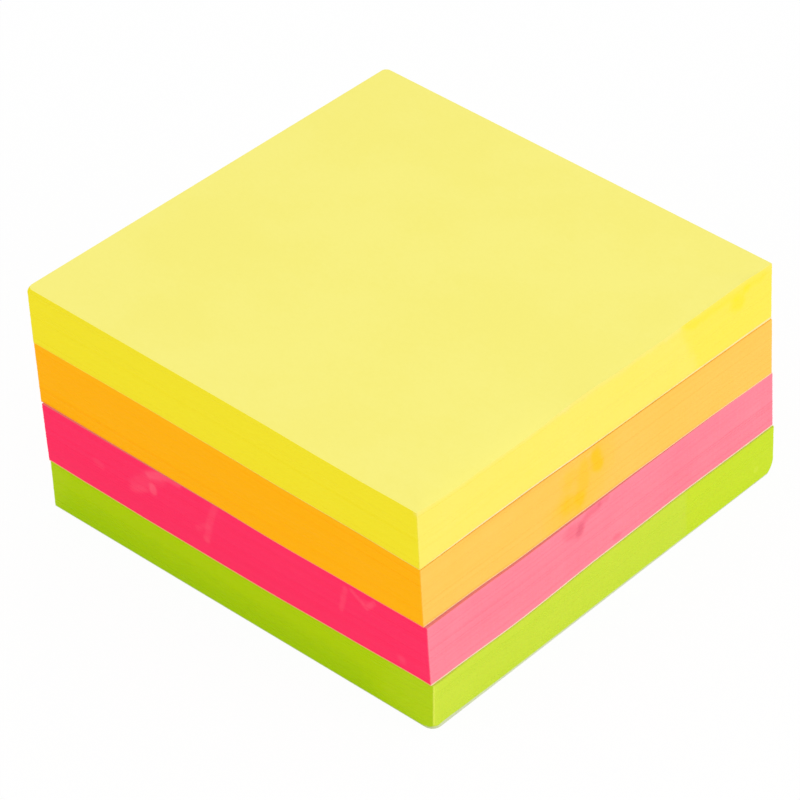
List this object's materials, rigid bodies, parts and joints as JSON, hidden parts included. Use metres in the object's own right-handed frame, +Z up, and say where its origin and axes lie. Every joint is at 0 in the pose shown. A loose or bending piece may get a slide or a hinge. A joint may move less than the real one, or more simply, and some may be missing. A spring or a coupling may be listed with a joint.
{
  "type": "sticky note pad stack",
  "caption": "Square self-adhesive note pads in yellow, orange, pink and green, stacked loosely, each block of notes on its own pale release liner.",
  "frame": {"origin": "middle of the stack's underside, on the surface that it stands on", "axes": "+Z up through the stack; -Y and +X are the two sides that face the viewer, left and right"},
  "size_m": [0.0775, 0.0765, 0.0401],
  "materials": {
    "yellow_paper": "smooth neon yellow writing paper with a faint sheen",
    "orange_paper": "smooth neon orange writing paper with a faint sheen",
    "pink_paper": "smooth neon pink writing paper with a faint sheen",
    "green_paper": "smooth neon green writing paper with a faint sheen",
    "liner_paper": "pale cream release paper with a thin satin coating"
  },
  "bodies": {
    "root": {"green_liner": "liner_paper", "green_notes": "green_paper", "pink_liner": "liner_paper", "pink_notes": "pink_paper", "orange_liner": "liner_paper", "orange_notes": "orange_paper", "yellow_liner": "liner_paper", "yellow_notes": "yellow_paper"}
  },
  "joints": []
}
